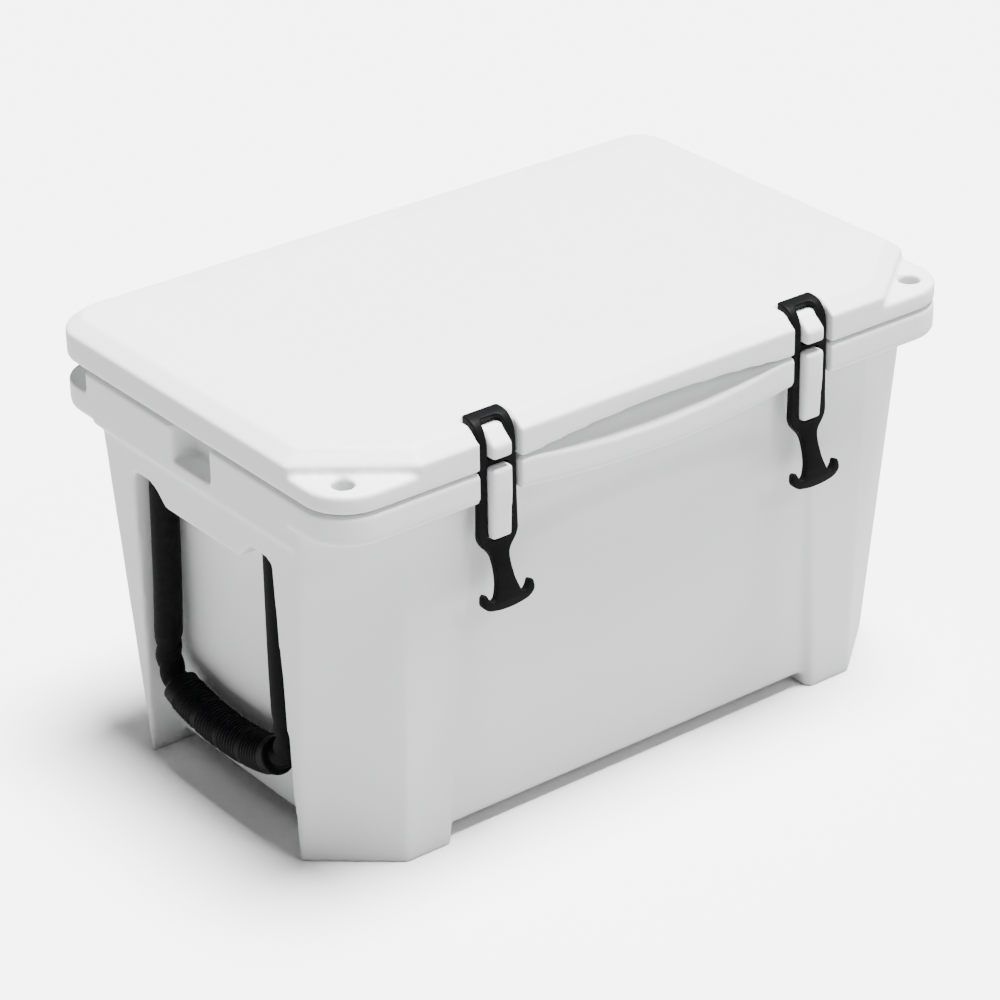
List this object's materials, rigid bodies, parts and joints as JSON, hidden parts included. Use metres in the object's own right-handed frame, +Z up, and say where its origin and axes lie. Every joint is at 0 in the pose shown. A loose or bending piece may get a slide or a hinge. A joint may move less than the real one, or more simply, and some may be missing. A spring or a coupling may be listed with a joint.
{
  "type": "cooler chest",
  "caption": "Insulated rotomoulded cooler chest with a hinged lid, rubber T-handle latches, rope carry handles with ribbed grips, tie-down corners and a drain.",
  "frame": {"origin": "middle of the bounding box's bottom, between the feet, on the ground", "axes": "+Z up; +X towards the right-hand end, along the length; +Y towards the back, where the hinge and drain are; the latches face -Y"},
  "size_m": [0.68, 0.441, 0.41],
  "materials": {
    "shell": "rotomoulded polyethylene, white, very fine satin grain",
    "foam": "closed-cell polyurethane foam, sealed inside the shell",
    "fill_plug": "press-in polyethylene plug, satin",
    "hinge_pin": "stainless steel rod, ground",
    "ferrule": "moulded nylon, satin black",
    "drain": "moulded nylon, satin black",
    "oring": "soft rubber",
    "gasket": "soft rubber, matt",
    "latch_rubber": "natural rubber, matt black",
    "latch_pin": "stainless steel rod, ground",
    "rope": "twisted polypropylene rope, black",
    "grip": "ribbed moulded rubber sleeve, black"
  },
  "bodies": {
    "chest": {"body_shell": "shell", "body_foam": "foam", "body_fill_plugs": "fill_plug", "hinge_pins": "hinge_pin", "rope_ferrules": "ferrule", "drain_liner": "drain"},
    "lid": {"lid_shell": "shell", "lid_foam": "foam", "lid_gasket": "gasket", "lid_fill_plug": "fill_plug", "latch_pins": "latch_pin", "latch_left_anchor": "latch_rubber", "latch_right_anchor": "latch_rubber"},
    "latch_left": {"latch_left_strap": "latch_rubber"},
    "latch_right": {"latch_right_strap": "latch_rubber"},
    "handle_left": {"handle_left_rope": "rope", "handle_left_grip": "grip"},
    "handle_right": {"handle_right_rope": "rope", "handle_right_grip": "grip"},
    "drain_travel": {"drain_oring": "oring"},
    "drain_cap": {"drain_plug": "drain"}
  },
  "joints": [
    {"name": "lid_hinge", "type": "hinge", "parent": "chest", "child": "lid", "pos_m": [0, 0.2085, 0.363], "axis": [-1, 0, 0], "range_deg": [0, 90]},
    {"name": "latch_left", "type": "hinge", "parent": "lid", "child": "latch_left", "pos_m": [-0.172, -0.203, 0.3732], "axis": [-1, 0, 0], "range_deg": [0, 120], "deforming": ["latch_left_strap"]},
    {"name": "latch_right", "type": "hinge", "parent": "lid", "child": "latch_right", "pos_m": [0.172, -0.203, 0.3732], "axis": [-1, 0, 0], "range_deg": [0, 120], "deforming": ["latch_right_strap"]},
    {"name": "handle_left", "type": "hinge", "parent": "chest", "child": "handle_left", "pos_m": [-0.3145, -0.0015, 0.283], "axis": [0, 1, 0], "range_deg": [0, 90], "deforming": ["handle_left_rope"]},
    {"name": "handle_right", "type": "hinge", "parent": "chest", "child": "handle_right", "pos_m": [0.3145, -0.0015, 0.283], "axis": [0, -1, 0], "range_deg": [0, 90], "deforming": ["handle_right_rope"]},
    {"name": "drain_travel", "type": "slide", "parent": "chest", "child": "drain_travel", "axis": [0, 1, 0], "range_m": [0, 0.02]},
    {"name": "drain_turn", "type": "hinge", "parent": "drain_travel", "child": "drain_cap", "pos_m": [0.15, 0.186, 0.08], "axis": [0, 1, 0], "range_deg": [0, 1440]}
  ],
  "couplings": [
    {"joint": "drain_travel", "follows": "drain_turn", "m_per_rad": 0.00079577}
  ]
}
